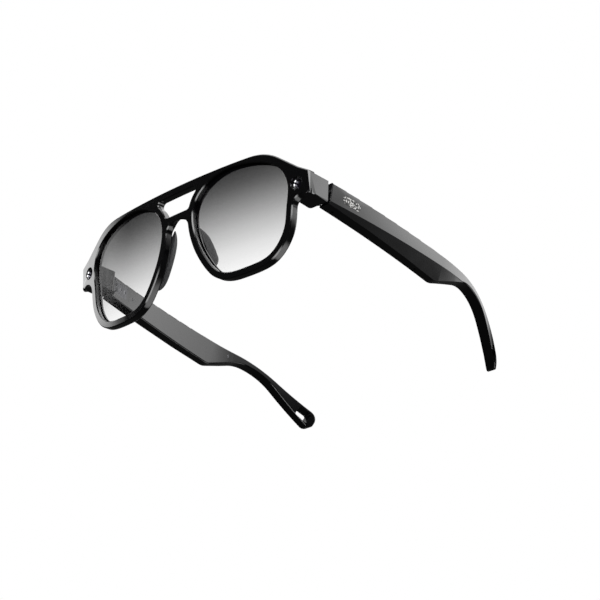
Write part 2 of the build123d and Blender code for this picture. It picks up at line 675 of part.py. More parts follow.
def inner_cover(kind):
    """The housing's inner cover, with the switch slot and contacts on the left."""
    cover = lid_shape(FIT)
    for seat in lid_screw_seats():
        cover = cover - screw_hole(seat, (1, 0, 0))
    if kind == "left":
        cover = cover - seated(SWITCH_Y + SWITCH_TRAVEL / 2, SWITCH_Z, TEMPLE_T,
                               (3.0, SWITCH_LEN + SWITCH_TRAVEL + 2 * SLIDE_ROOM, SWITCH_H + 2 * SLIDE_ROOM))
        for spot in contact_spots():
            cover = cover - rod((spot[0] - 2.0, spot[1], spot[2]), (1, 0, 0), CONTACT_R + FIT, 4.0)
    return cover


def contact_spots():
    """The charging contacts' middles on the inner face."""
    return [(bow_x(y, TEMPLE_T), y, CONTACT_Z) for y in (CONTACT_Y - 3.0, CONTACT_Y, CONTACT_Y + 3.0)]


def contacts():
    """Three flat round charging contacts through the inner cover."""
    return Compound(children=[rod((x + 0.08, y, z), (1, 0, 0), CONTACT_R, LID_T + 0.5) for x, y, z in contact_spots()])


def main_board():
    """The main board with its chips."""
    y = CAVITY_START + 10.0 + BOARD[1] / 2
    board = seated(y, BOARD_Z, BOARD_DEPTH, BOARD)
    for share, scale in ((-0.3, 1.0), (0.02, 1.3), (0.33, 0.8)):
        size = (CHIP[0], CHIP[1] * scale, CHIP[2] * scale * 0.85)
        x = BOARD_DEPTH - BOARD[0] / 2 - CHIP[0] / 2
        board = board + (Pos(bow_x(y, x), y, BOARD_Z) * Rot(0, 0, bow_turn(y)) * Pos(0, share * BOARD[1], 0)
                         * Box(*size))
    return board


def battery():
    """The flat cell with folded ends."""
    y = CAVITY_START + 8.0 + BATTERY[1] / 2
    cell = seated(y, BATTERY_Z, BATTERY_DEPTH, BATTERY)
    return fillet(cell.edges().filter_by(Axis.Z), 0.5)


def speaker():
    """The speaker under the mesh."""
    y = MESH_Y - 1.0
    body = seated(y, SPEAKER_Z, MID_DEPTH, SPEAKER)
    return body


def microphones():
    """Two small microphones, one for each sound hole."""
    front = seated(CAVITY_START + 2.4, -TEMPLE_H + 3.2, PORT_DEPTH, (1.8, 2.6, 1.0))
    rear = seated(PORT_REAR, rear_floor() + 0.7, PORT_DEPTH, (1.8, 2.6, 1.0))
    return Compound(children=[front, rear])


def rear_floor():
    """Height of the cavity's floor over the rear sound hole."""
    slope, height = floor_lines()[0]
    return slope * PORT_REAR + height + RIM_WALL + 0.1


def flex():
    """The thin circuit along the housing's outer wall."""
    return slab((CAVITY_START + 0.4, CAVITY_END - 16.0), (-5.0, -2.0), WALL + 0.02, WALL + 0.2)


def touch_pad():
    """The touch sensor behind the right outer wall, beside the flex."""
    return slab((CAVITY_START + 10.0, CAVITY_START + 40.0), (-5.0, -2.0), WALL + 0.25, WALL + 0.4)


def capture_button():
    """The button in the top edge, held by its flange."""
    cap = seated(BUTTON_Y, BUTTON_PROUD - BUTTON_H / 2, MID_DEPTH, (BUTTON_W, BUTTON_LEN, BUTTON_H))
    cap = fillet(cap.edges().filter_by(Axis.Z), BUTTON_W / 2 - 0.1)
    top = cap.faces().sort_by(Axis.Z)[-1]
    cap = fillet(top.edges(), 0.3)
    z = BUTTON_PROUD - BUTTON_H
    return cap + seated(BUTTON_Y, z + 0.25, MID_DEPTH, (BUTTON_W + 0.8, BUTTON_LEN + 1.2, 0.5))


def button_dome():
    """The dome switch that the button presses on."""
    z = BUTTON_PROUD - BUTTON_H - BUTTON_TRAVEL - 0.1
    base = seated(BUTTON_Y, z - 0.75, MID_DEPTH, (3.0, 3.6, 0.7))
    dome = Pos(bow_x(BUTTON_Y, MID_DEPTH), BUTTON_Y, z - 0.4) * Cone(1.3, 0.6, 0.4, align=(
        Align.CENTER, Align.CENTER, Align.MIN))
    return base + dome


def power_switch():
    """The sliding knob: it stands out of the inner cover and rides behind it."""
    knob = seated(SWITCH_Y, SWITCH_Z, TEMPLE_T - LID_T / 2 + 0.1, (LID_T + SWITCH_PROUD + 0.7, SWITCH_LEN, SWITCH_H))
    plate = seated(SWITCH_Y, SWITCH_Z, TEMPLE_T - LID_T - 0.35, (0.4, SWITCH_LEN + 1.2, SWITCH_H + 1.4))
    return knob + plate


def switch_body():
    """The switch that the knob drives."""
    y = SWITCH_Y + SWITCH_TRAVEL / 2
    return seated(y, SWITCH_Z, TEMPLE_T - LID_T - 1.6, (1.2, SWITCH_LEN + SWITCH_TRAVEL + 1.0, SWITCH_H + 1.4))


def leaf_screws():
    """The temple leaf's screws."""
    return Compound(children=[screw(seat, (1, 0, 0)) for seat in leaf_seats()])


def cover_screws():
    """The inner cover's screws."""
    return Compound(children=[screw(seat, (1, 0, 0)) for seat in lid_screw_seats()])


# ---- Assembly ----
def saddle():
    """The hollow that rises under the bridge towards the back."""
    place = Plane(origin=(0, SADDLE_START, BRIDGE_Z - BRIDGE_H / 2 - SADDLE_R), z_dir=(0, 1, SADDLE_RISE))
    return place * Cylinder(SADDLE_R, 4 * FRONT_T)


def corner_bevel():
    """What the polished bevel takes off the left front corner."""
    turned = Rot(0, 0, 45) * Box(CORNER_EDGE * sqrt(2), CORNER_EDGE * sqrt(2), BIG)
    return Pos(FRONT_HALF, CORNER_Y, 0) * turned


def lug_bevels():
    """What the bevels take off the left end piece's outer edges, above and below."""
    turned = Rot(0, 45, 0) * Box(LUG_EDGE * sqrt(2), BIG, LUG_EDGE * sqrt(2))
    upper = Pos(FRONT_HALF, CORNER_Y, CORNER_TOP) * Rot(-degrees(atan(LUG_DROP)), 0, 0) * turned
    lower = Pos(FRONT_HALF, CORNER_Y, CORNER_BOTTOM) * Rot(-degrees(atan(LUG_SAG)), 0, 0) * turned
    return upper + lower


def front_frame():
    """The front in one moulding, with everything that fits into it cut out."""
    frame = front_blank()
    frame = round_uprights(frame, [(BRIDGE_W / 2 - RIM_W, BRIDGE_Z - BRIDGE_H / 2, ARCH_ROUND),
                                   (LENS_OUT + RIM_W, CORNER_BOTTOM, END_ROUND),
                                   (BRIDGE_W / 2 - RIM_W + 0.6, BRIDGE_Z + BRIDGE_H / 2, CUTOUT_ROUND),
                                   (BRIDGE_W / 2 + RIM_W, BROW_Z - BAR_H, CUTOUT_ROUND)])
    for side, solid in both_sides(lug()):
        frame = frame + solid
    front = [e for e in frame.edges() if abs(e.center().Y - wrap_y(e.center().X)) < 0.6
             and abs(e.tangent_at(0.5).Y) < 0.5]
    frame = chamfer(front, EDGE)
    frame = fillet(outer_back_edges(frame), BACK_ROUND) - saddle()
    cuts = [wrapped(lens_face(GROOVE), LENS_SET - FIT, LENS_SET + LENS_T + FIT), lug_pocket(), lug_lid(FIT),
            port_disc(0, PORT_CONE, PORT_R, PORT_NECK_R), port_disc(-2, 0.02, PORT_R),
            port_disc(PORT_CONE - 0.1, PORT_CONE + BEZEL_H + WINDOW_T + 0.2, PORT_NECK_R), front_leaf_room(),
            corner_bevel(), lug_bevels()]
    for seat in front_leaf_seats():
        cuts.append(screw_hole(seat, (0, -1, 0)))
    for cut in cuts:
        for side, solid in both_sides(cut):
            frame = frame - solid
    return frame - wrapped(band(BAND_W), FRONT_T - BAND_D, FRONT_T + 3)


def outer_back_edges(frame):
    """The edges round the outside of the plate's back face, short of the lugs."""
    back = [e for e in frame.edges() if abs(e.center().Y - wrap_y(e.center().X, FRONT_T)) < 0.4
            and abs(e.tangent_at(0.5).Y) < 0.5]
    outer = []
    for edge in back:
        middle = edge @ 0.5
        across = abs(middle.X) - LENS_CX
        rise = middle.Z - LENS_Z
        beside = max(abs((edge @ 0).X), abs((edge @ 1).X)) < LUG_IN
        if beside and ((across / (LENS_W / 2 + 1.5)) ** 2 + (rise / (LENS_H / 2 + 1.5)) ** 2 > 1.0
                       or middle.Z > BROW_Z - 1.0):
            outer.append(edge)
    return outer


def front_parts():
    """Every piece of the front, by name."""
    parts = {"front_frame": front_frame()}
    pairs = {"lens": wrapped(lens_face(GROOVE - FIT), LENS_SET, LENS_SET + LENS_T), "nose_pad": nose_pad(),
             "endpiece_cover": lug_lid(), "hinge_front_leaf": front_leaf(), "hinge_pin": hinge_pin()}
    for name, shape in pairs.items():
        for side, solid in both_sides(shape):
            parts[f"{name}_{SIDES[side]}"] = solid
    for name, shape in (("bezel", bezel()), ("window", window()), ("module", module())):
        for side, solid in both_sides(shape):
            parts[f"{PORT_NAMES[side]}_{name}"] = solid
    screws = Compound(children=[screw(seat, (0, -1, 0)) for seat in front_leaf_seats()])
    parts["front_leaf_screws"] = Compound(children=[solid for side, solid in both_sides(screws)])
    channel = band(BAND_W - 2 * FIT)
    parts["brow_flex"] = wrapped(channel, FRONT_T - BAND_D + 0.05, FRONT_T - BAND_D + 0.3)
    parts["brow_cover"] = wrapped(channel, FRONT_T - 0.6, FRONT_T)
    return parts


def temple_parts(kind):
    """Every piece of one temple, by name, drawn on the left."""
    drawn = {"temple_shell": None, "inner_cover": inner_cover(kind), "core_wire": core_wire(), "emblem": emblem(),
             "speaker": speaker(), "speaker_mesh": mesh(), "microphones": microphones(), "temple_flex": flex(),
             "leaf_screws": leaf_screws(), "cover_screws": cover_screws()}
    alone = {"left": {"main_board": main_board, "power_switch": power_switch, "switch_body": switch_body,
                      "charging_contacts": contacts},
             "right": {"battery": battery, "capture_button": capture_button, "button_dome": button_dome,
                       "touch_pad": touch_pad}}
    parts = {}
    for name, shape in drawn.items():
        if shape is not None:
            parts[f"{name}_{kind}"] = TEMPLE_FRAME * shape
    for name, make in alone[kind].items():
        parts[name] = TEMPLE_FRAME * make()
    parts[f"temple_shell_{kind}"] = temple_shell(kind)
    parts[f"hinge_temple_leaf_{kind}"] = temple_leaf() - screw_holes_in_leaf()
    if kind == "right":
        parts = {name: mirror(shape, about=Plane.YZ) for name, shape in parts.items()}
    return parts


def screw_holes_in_leaf():
    """The countersunk holes in the temple leaf, in the front's frame."""
    holes = [screw_hole(seat, (1, 0, 0)) for seat in leaf_seats()]
    return TEMPLE_FRAME * (holes[0] + holes[1])


SIDES = {1: "left", -1: "right"}
PORT_NAMES = {1: "indicator", -1: "camera"}


def stand(parts):
    """Turn and lift the glasses to rest on Z = 0 on the rims and tips, centred over the origin."""
    resting = ("front_frame", "temple_shell_left", "temple_shell_right")
    tilt = 0.0
    for attempt in range(TILT_STEPS):
        lowest = [(Rot(tilt, 0, 0) * parts[name]).bounding_box().min.Z for name in resting]
        tilt += degrees(atan2(lowest[0] - lowest[1], TEMPLE_Y0 + TEMPLE_LEN))
    parts = {name: Rot(tilt, 0, 0) * shape for name, shape in parts.items()}
    floor = parts["front_frame"].bounding_box().min.Z + REST_FLAT
    near = parts["front_frame"].bounding_box().min.Y
    far = parts["temple_shell_left"].bounding_box().max.Y
    place = Pos(0, -(near + far) / 2, -floor)
    parts = {name: place * shape for name, shape in parts.items()}
    under = Pos(0, 0, -BIG / 2) * Box(2 * BIG, 2 * BIG, BIG)
    for name in resting:
        parts[name] = parts[name] - under
    print("tilt", tilt, "shift", place.position, "lowest", lowest)
    return parts


def main():
    """Build and write every piece."""
    parts = front_parts()
    for kind in ("left", "right"):
        parts.update(temple_parts(kind))
    parts = stand(parts)
    os.makedirs("parts", exist_ok=True)
    for name, shape in parts.items():
        export_step(shape, f"parts/{name}.step")


if __name__ == "__main__":
    main()
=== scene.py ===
"""Sunglasses with electronics in their temples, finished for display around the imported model."""

import json
import logging
import math
from dataclasses import dataclass, field
from enum import Enum

import bpy
from mathutils import Matrix, Vector

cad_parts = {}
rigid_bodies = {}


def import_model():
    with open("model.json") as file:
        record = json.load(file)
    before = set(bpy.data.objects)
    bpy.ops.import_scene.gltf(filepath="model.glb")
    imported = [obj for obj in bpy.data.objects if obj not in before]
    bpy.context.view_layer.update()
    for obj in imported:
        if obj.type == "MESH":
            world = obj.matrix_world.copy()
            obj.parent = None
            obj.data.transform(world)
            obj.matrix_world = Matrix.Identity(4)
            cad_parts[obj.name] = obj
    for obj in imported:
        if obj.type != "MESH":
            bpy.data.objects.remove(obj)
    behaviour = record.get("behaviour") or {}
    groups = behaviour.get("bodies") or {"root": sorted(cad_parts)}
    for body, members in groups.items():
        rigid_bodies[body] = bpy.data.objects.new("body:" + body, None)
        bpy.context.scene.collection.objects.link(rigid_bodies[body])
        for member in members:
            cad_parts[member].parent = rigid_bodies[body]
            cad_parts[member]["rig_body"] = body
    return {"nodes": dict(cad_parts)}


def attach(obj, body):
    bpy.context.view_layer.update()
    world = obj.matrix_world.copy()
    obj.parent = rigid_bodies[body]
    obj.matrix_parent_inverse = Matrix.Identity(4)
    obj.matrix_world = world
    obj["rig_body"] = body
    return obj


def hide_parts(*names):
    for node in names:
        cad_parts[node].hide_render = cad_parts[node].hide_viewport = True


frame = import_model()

LOG = logging.getLogger("glasses")
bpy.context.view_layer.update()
MM = 0.001
MERGE_REACH = 0.002 * MM
WORN_WIDTH = 0.25 * MM
SHARP_WEIGHT = 100


class Side(Enum):
    """The wearer's left or right."""

    LEFT = "left"
    RIGHT = "right"


class Slot(Enum):
    """The record's material slots."""

    GLOSS = "frame_gloss"
    LENS = "lens_tint"
    PAD = "pad"
    STEEL = "steel"
    BEZEL = "bezel"
    PORT_GLASS = "port_glass"
    MODULE = "module"
    EMBLEM = "emblem"
    MESH = "mesh"
    CONTACT = "contact"
    BOARD = "board"
    FLEX = "flex"
    CELL = "cell"
    RUBBER = "rubber_gloss"


# ---- Node groups that several finishes share ----


@dataclass
class GroupMaker:
    """Builds one shader node group with named inputs and outputs."""

    name: str
    inputs: dict[str, tuple[str, float]]
    outputs: dict[str, str]

    def start(self) -> tuple[bpy.types.NodeTree, bpy.types.Node, bpy.types.Node]:
        """Makes the empty group.

        Returns:
            The group's tree, its input node and its output node.
        """
        tree = bpy.data.node_groups.new(self.name, "ShaderNodeTree")
        for name, (kind, value) in self.inputs.items():
            socket = tree.interface.new_socket(name, in_out="INPUT", socket_type=kind)
            if kind == "NodeSocketFloat":
                socket.default_value = value
        for name, kind in self.outputs.items():
            tree.interface.new_socket(name, in_out="OUTPUT", socket_type=kind)
        return tree, tree.nodes.new("NodeGroupInput"), tree.nodes.new("NodeGroupOutput")


def grain_group() -> bpy.types.NodeTree:
    """Fine moulding grain with slow cloudiness.

    Returns:
        A group that puts out Height and Cloud.
    """
    maker = GroupMaker("moulded_grain",
                       {"Vector": ("NodeSocketVector", 0.0), "Fine": ("NodeSocketFloat", 2400.0),
                        "Slow": ("NodeSocketFloat", 60.0)},
                       {"Height": "NodeSocketFloat", "Cloud": "NodeSocketFloat"})
    tree, group_in, group_out = maker.start()
    fine = tree.nodes.new("ShaderNodeTexNoise")
    fine.inputs["Detail"].default_value = 3.0
    slow = tree.nodes.new("ShaderNodeTexNoise")
    slow.inputs["Detail"].default_value = 4.0
    slow.inputs["Roughness"].default_value = 0.6
    tree.links.new(group_in.outputs["Vector"], fine.inputs["Vector"])
    tree.links.new(group_in.outputs["Fine"], fine.inputs["Scale"])
    tree.links.new(group_in.outputs["Vector"], slow.inputs["Vector"])
    tree.links.new(group_in.outputs["Slow"], slow.inputs["Scale"])
    tree.links.new(fine.outputs["Fac"], group_out.inputs["Height"])
    tree.links.new(slow.outputs["Fac"], group_out.inputs["Cloud"])
    return tree


def wear_group() -> bpy.types.NodeTree:
    """Polish and rubbing on convex edges, broken up by noise.

    Returns:
        A group that puts out Mask.
    """
    maker = GroupMaker("edge_wear",
                       {"Vector": ("NodeSocketVector", 0.0), "Low": ("NodeSocketFloat", 0.02),
                        "High": ("NodeSocketFloat", 0.2)},
                       {"Mask": "NodeSocketFloat"})
    tree, group_in, group_out = maker.start()
    shape = tree.nodes.new("ShaderNodeNewGeometry")
    rounded = tree.nodes.new("ShaderNodeBevel")
    rounded.samples = 4
    rounded.inputs["Radius"].default_value = WORN_WIDTH
    agree = tree.nodes.new("ShaderNodeVectorMath")
    agree.operation = "DOT_PRODUCT"
    differ = tree.nodes.new("ShaderNodeMath")
    differ.operation = "SUBTRACT"
    differ.inputs[0].default_value = 1.0
    ramp = tree.nodes.new("ShaderNodeMapRange")
    patches = tree.nodes.new("ShaderNodeTexNoise")
    patches.inputs["Scale"].default_value = 180.0
    patches.inputs["Detail"].default_value = 5.0
    product = tree.nodes.new("ShaderNodeMath")
    product.operation = "MULTIPLY"
    tree.links.new(shape.outputs["Normal"], agree.inputs[0])
    tree.links.new(rounded.outputs["Normal"], agree.inputs[1])
    tree.links.new(agree.outputs["Value"], differ.inputs[1])
    tree.links.new(differ.outputs["Value"], ramp.inputs["Value"])
    tree.links.new(group_in.outputs["Low"], ramp.inputs["From Min"])
    tree.links.new(group_in.outputs["High"], ramp.inputs["From Max"])
    tree.links.new(group_in.outputs["Vector"], patches.inputs["Vector"])
    tree.links.new(ramp.outputs["Result"], product.inputs[0])
    tree.links.new(patches.outputs["Fac"], product.inputs[1])
    tree.links.new(product.outputs["Value"], group_out.inputs["Mask"])
    return tree


def smear_group() -> bpy.types.NodeTree:
    """Faint handling smears and specks of dust.

    Returns:
        A group that puts out Smear and Speck.
    """
    maker = GroupMaker("handling", {"Vector": ("NodeSocketVector", 0.0), "Scale": ("NodeSocketFloat", 90.0)},
                       {"Smear": "NodeSocketFloat", "Speck": "NodeSocketFloat"})
    tree, group_in, group_out = maker.start()
    smear = tree.nodes.new("ShaderNodeTexNoise")
    smear.inputs["Detail"].default_value = 6.0
    smear.inputs["Distortion"].default_value = 1.4
    speck = tree.nodes.new("ShaderNodeTexVoronoi")
    speck.inputs["Scale"].default_value = 420.0
    dots = tree.nodes.new("ShaderNodeMapRange")
    dots.inputs["From Min"].default_value = 0.09
    dots.inputs["From Max"].default_value = 0.03
    tree.links.new(group_in.outputs["Vector"], smear.inputs["Vector"])
    tree.links.new(group_in.outputs["Scale"], smear.inputs["Scale"])
    tree.links.new(group_in.outputs["Vector"], speck.inputs["Vector"])
    tree.links.new(speck.outputs["Distance"], dots.inputs["Value"])
    tree.links.new(smear.outputs["Fac"], group_out.inputs["Smear"])
    tree.links.new(dots.outputs["Result"], group_out.inputs["Speck"])
    return tree


@dataclass
class Groups:
    """The shared node groups, built once."""

    grain: bpy.types.NodeTree = field(default_factory=grain_group)
    wear: bpy.types.NodeTree = field(default_factory=wear_group)
    handling: bpy.types.NodeTree = field(default_factory=smear_group)


GROUPS = Groups()
Colour = tuple[float, float, float]


class Sheet:
    """A new material's node tree, with short calls to add and join nodes."""

    def __init__(self, name: str) -> None:
        """Starts a material with a Principled shader and Object coordinates.

        Args:
            name: The material's name.
        """
        self.material = bpy.data.materials.new(name)
        self.material.use_nodes = True
        self.tree = self.material.node_tree
        self.shader = self.tree.nodes["Principled BSDF"]
        self.output = self.tree.nodes["Material Output"]
        self.coordinates = self.tree.nodes.new("ShaderNodeTexCoord").outputs["Object"]

    def node(self, kind: str, **values: float) -> bpy.types.Node:
        """Adds a node.

        Args:
            kind: The node's type.
            values: Default values for its inputs, by name with _ for a space.

        Returns:
            The new node.
        """
        made = self.tree.nodes.new(kind)
        for name, value in values.items():
            made.inputs[name.replace("_", " ")].default_value = value
        return made

    def group(self, tree: bpy.types.NodeTree, **values: float) -> bpy.types.Node:
        """Places a shared group, fed with Object coordinates.

        Args:
            tree: The group.
            values: Values for its inputs.

        Returns:
            The group's node.
        """
        made = self.tree.nodes.new("ShaderNodeGroup")
        made.node_tree = tree
        for name, value in values.items():
            made.inputs[name].default_value = value
        self.join(self.coordinates, made.inputs["Vector"])
        return made

    def join(self, start: bpy.types.NodeSocket, end: bpy.types.NodeSocket) -> None:
        """Links two sockets."""
        self.tree.links.new(start, end)

    def mix(self, mask: bpy.types.NodeSocket, first: Colour, second: Colour) -> bpy.types.NodeSocket:
        """Mixes two colours by a mask.

        Args:
            mask: From 0 for the first colour to 1 for the second.
            first: The first colour.
            second: The second colour.

        Returns:
            The mixed colour.
        """
        made = self.tree.nodes.new("ShaderNodeMix")
        made.data_type = "RGBA"
        made.inputs["A"].default_value = (*first, 1.0)
        made.inputs["B"].default_value = (*second, 1.0)
        self.join(mask, made.inputs["Factor"])
        return made.outputs["Result"]

    def spread(self, value: bpy.types.NodeSocket, low: float, high: float,
               start: float = 0.3, end: float = 0.7) -> bpy.types.NodeSocket:
        """Maps a value from start..end to low..high.

        Args:
            value: What is mapped.
            low: The result at start.
            high: The result at end.
            start: The lowest input.
            end: The highest input.

        Returns:
            The mapped value.
        """
        made = self.node("ShaderNodeMapRange", From_Min=start, From_Max=end, To_Min=low, To_Max=high)
        self.join(value, made.inputs["Value"])
        return made.outputs["Result"]

    def bump(self, height: bpy.types.NodeSocket, strength: float, distance: float) -> None:
        """Feeds the shader's normal from a height.

        Args:
            height: The height field.
            strength: The bump's strength.
            distance: Its depth in metres.
        """
        made = self.node("ShaderNodeBump", Strength=strength, Distance=distance)
        self.join(height, made.inputs["Height"])
        self.join(made.outputs["Normal"], self.shader.inputs["Normal"])


# ---- Finishes ----


@dataclass(frozen=True)
class PolishedPlastic:
    """Hand-polished black frame plastic."""

    name: str = "polished_black"
    base: Colour = (0.0035, 0.0035, 0.004)
    worn: Colour = (0.03, 0.03, 0.032)
    rough_low: float = 0.07
    rough_high: float = 0.16
    coat: float = 0.6
    coat_rough: float = 0.05
    grain_depth: float = 0.004 * MM

    def material(self) -> bpy.types.Material:
        """Builds the material.

        Returns:
            The finished material.
        """
        sheet = Sheet(self.name)
        grain = sheet.group(GROUPS.grain, Fine=2600.0, Slow=45.0)
        wear = sheet.group(GROUPS.wear)
        handling = sheet.group(GROUPS.handling)
        sheet.join(sheet.mix(wear.outputs["Mask"], self.base, self.worn), sheet.shader.inputs["Base Color"])
        rough = sheet.spread(handling.outputs["Smear"], self.rough_low, self.rough_high)
        sheet.join(rough, sheet.shader.inputs["Roughness"])
        sheet.shader.inputs["Coat Weight"].default_value = self.coat
        sheet.shader.inputs["Coat Roughness"].default_value = self.coat_rough
        sheet.bump(grain.outputs["Height"], 0.04, self.grain_depth)
        return sheet.material


@dataclass(frozen=True)
class GradientLens:
    """Tinted lens, dark at the top and nearly clear at the bottom."""

    name: str = "gradient_lens"
    top: float = 0.053
    bottom: float = 0.004
    stops: tuple[tuple[float, float], ...] = ((0.2, 0.13), (0.42, 0.30), (0.62, 0.49), (0.82, 0.69))
    clearest: float = 0.03
    darkest: float = 0.82

    def material(self) -> bpy.types.Material:
        """Builds the material. Each of the lens's two surfaces stops part of the light.

        Returns:
            The finished material.
        """
        sheet = Sheet(self.name)
        handling = sheet.group(GROUPS.handling, Scale=70.0)
        parts = sheet.node("ShaderNodeSeparateXYZ")
        sheet.join(sheet.coordinates, parts.inputs["Vector"])
        ramp = sheet.node("ShaderNodeValToRGB")
        ramp.color_ramp.elements[0].color = (self.clearest, self.clearest, self.clearest, 1.0)
        ramp.color_ramp.elements[1].color = (self.darkest, self.darkest, self.darkest, 1.0)
        for position, value in self.stops:
            ramp.color_ramp.elements.new(position).color = (value, value, value, 1.0)
        rise = sheet.spread(parts.outputs["Z"], 0.0, 1.0, self.bottom, self.top)
        sheet.join(rise, ramp.inputs["Fac"])
        sheet.join(ramp.outputs["Color"], sheet.shader.inputs["Alpha"])
        sheet.join(sheet.mix(handling.outputs["Speck"], (0.004, 0.004, 0.005), (0.03, 0.03, 0.03)),
                   sheet.shader.inputs["Base Color"])
        sheet.join(sheet.spread(handling.outputs["Smear"], 0.02, 0.06), sheet.shader.inputs["Roughness"])
        sheet.shader.inputs["IOR"].default_value = 1.35
        return sheet.material


@dataclass(frozen=True)
class Silicone:
    """Soft satin rubber of the nose pads, switch and button."""

    name: str
    base: Colour
    rough: float = 0.42

    def material(self) -> bpy.types.Material:
        """Builds the material.

        Returns:
            The finished material.
        """
        sheet = Sheet(self.name)
        grain = sheet.group(GROUPS.grain, Fine=3600.0, Slow=120.0)
        lighter = tuple(min(1.0, c * 1.8 + 0.01) for c in self.base)
        sheet.join(sheet.mix(sheet.spread(grain.outputs["Cloud"], 0.0, 1.0), self.base, lighter),
                   sheet.shader.inputs["Base Color"])
        sheet.join(sheet.spread(grain.outputs["Cloud"], self.rough - 0.06, self.rough + 0.1),
                   sheet.shader.inputs["Roughness"])
        sheet.shader.inputs["Sheen Weight"].default_value = 0.12
        sheet.bump(grain.outputs["Height"], 0.25, 0.00004)
        return sheet.material


@dataclass(frozen=True)
class TurnedMetal:
    """Machined metal with fine lines and brighter worn edges."""

    name: str
    base: Colour
    worn: Colour
    rough: float = 0.28
    lines: float = 2200.0

    def material(self) -> bpy.types.Material:
        """Builds the material.

        Returns:
            The finished material.
        """
        sheet = Sheet(self.name)
        wear = sheet.group(GROUPS.wear)
        stretch = sheet.node("ShaderNodeMapping")
        stretch.inputs["Scale"].default_value = (1.0, 1.0, 0.06)
        sheet.join(sheet.coordinates, stretch.inputs["Vector"])
        lines = sheet.node("ShaderNodeTexNoise", Scale=self.lines, Detail=2.0)
        sheet.join(stretch.outputs["Vector"], lines.inputs["Vector"])
        sheet.join(sheet.mix(wear.outputs["Mask"], self.base, self.worn), sheet.shader.inputs["Base Color"])
        sheet.join(sheet.spread(lines.outputs["Fac"], self.rough - 0.08, self.rough + 0.12),
                   sheet.shader.inputs["Roughness"])
        sheet.shader.inputs["Metallic"].default_value = 1.0
        sheet.bump(lines.outputs["Fac"], 0.15, 0.00002)
        return sheet.material


@dataclass(frozen=True)
class PortGlass:
    """Dark coated glass with a painted violet reflection towards its outer edge, where the view grazes it."""

    name: str = "port_glass"
    centre: Colour = (0.002, 0.002, 0.004)
    # The violet is a painted reflection, mixed in where the view grazes the glass.
    painted_grazing_reflection: Colour = (0.012, 0.008, 0.02)

    def material(self) -> bpy.types.Material:
        """Builds the material.

        Returns:
            The finished material.
        """
        sheet = Sheet(self.name)
        edge = sheet.node("ShaderNodeLayerWeight", Blend=0.35)
        handling = sheet.group(GROUPS.handling, Scale=300.0)
        # The glass's own near-black, mixed with the painted violet reflection by viewing angle.
        tint_and_painted_reflection = sheet.mix(edge.outputs["Facing"], self.centre, self.painted_grazing_reflection)
        sheet.join(tint_and_painted_reflection, sheet.shader.inputs["Base Color"])
        sheet.join(sheet.spread(handling.outputs["Smear"], 0.02, 0.07), sheet.shader.inputs["Roughness"])
        sheet.shader.inputs["IOR"].default_value = 1.6
        sheet.shader.inputs["Coat Weight"].default_value = 1.0
        sheet.shader.inputs["Coat Tint"].default_value = (0.85, 0.8, 1.0, 1.0)
        return sheet.material


@dataclass(frozen=True)
class KnurledInlayPaintedShade:
    """Pale metal inlay struck all over with small dimples, with painted shade in the sunk lines between them.
    """

    name: str = "knurled_inlay_painted_shade"
    # The near-black colour is painted shade for the sunk lines between the raised cells.
    dark: Colour = (0.02, 0.02, 0.02)
    pale: Colour = (0.75, 0.74, 0.72)
    dimples: float = 1150.0

    def material(self) -> bpy.types.Material:
        """Builds the material.

        Returns:
            The finished material.
        """
        sheet = Sheet(self.name)
        cells = sheet.node("ShaderNodeTexVoronoi", Scale=self.dimples)
        sheet.join(sheet.coordinates, cells.inputs["Vector"])
        # Painted shade: where the bump is low, the pale metal turns near-black.
        mask = sheet.spread(cells.outputs["Distance"], 1.0, 0.0, 0.3, 0.6)
        sheet.join(sheet.mix(mask, self.dark, self.pale), sheet.shader.inputs["Base Color"])
        sheet.join(sheet.spread(cells.outputs["Distance"], 0.25, 0.5), sheet.shader.inputs["Roughness"])
        sheet.join(sheet.spread(mask, 0.0, 0.25, 0.0, 1.0), sheet.shader.inputs["Metallic"])
        sheet.bump(mask, 0.5, 0.00008)
        return sheet.material


@dataclass(frozen=True)
class Perforated:
    """Thin metal with rows of round holes."""

    name: str = "perforated_steel"
    metal: Colour = (0.09, 0.09, 0.095)
    pitch: float = 0.0009

    def material(self) -> bpy.types.Material:
        """Builds the material.

        Returns:
            The finished material.
        """
        sheet = Sheet(self.name)
        cells = sheet.node("ShaderNodeTexVoronoi", Scale=1.0 / self.pitch, Randomness=0.0)
        sheet.join(sheet.coordinates, cells.inputs["Vector"])
        holes = sheet.spread(cells.outputs["Distance"], 1.0, 0.0, 0.28, 0.4)
        sheet.join(sheet.mix(holes, self.metal, (0.001, 0.001, 0.001)), sheet.shader.inputs["Base Color"])
        sheet.join(sheet.spread(holes, 0.35, 0.9, 0.0, 1.0), sheet.shader.inputs["Roughness"])
        sheet.shader.inputs["Metallic"].default_value = 0.8
        sheet.bump(sheet.spread(holes, 1.0, 0.0, 0.0, 1.0), 0.6, 0.0002)
        return sheet.material


@dataclass(frozen=True)
class CircuitFinish:
    """Printed circuit, flex or cell wrap with traces and light cloudiness."""

    name: str
    base: Colour
    trace: Colour
    pitch: float = 0.0006
    rough: float = 0.45

    def material(self) -> bpy.types.Material:
        """Builds the material.

        Returns:
            The finished material.
        """
        sheet = Sheet(self.name)
        wave = sheet.node("ShaderNodeTexWave", Scale=0.05 / self.pitch, Distortion=2.0, Detail=1.0)
        sheet.join(sheet.coordinates, wave.inputs["Vector"])
        mask = sheet.spread(wave.outputs["Fac"], 0.0, 1.0, 0.55, 0.7)
        grain = sheet.group(GROUPS.grain)
        sheet.join(sheet.mix(mask, self.base, self.trace), sheet.shader.inputs["Base Color"])
        sheet.join(sheet.spread(grain.outputs["Cloud"], self.rough - 0.1, self.rough + 0.1),
                   sheet.shader.inputs["Roughness"])
        sheet.bump(mask, 0.3, 0.00003)
        return sheet.material


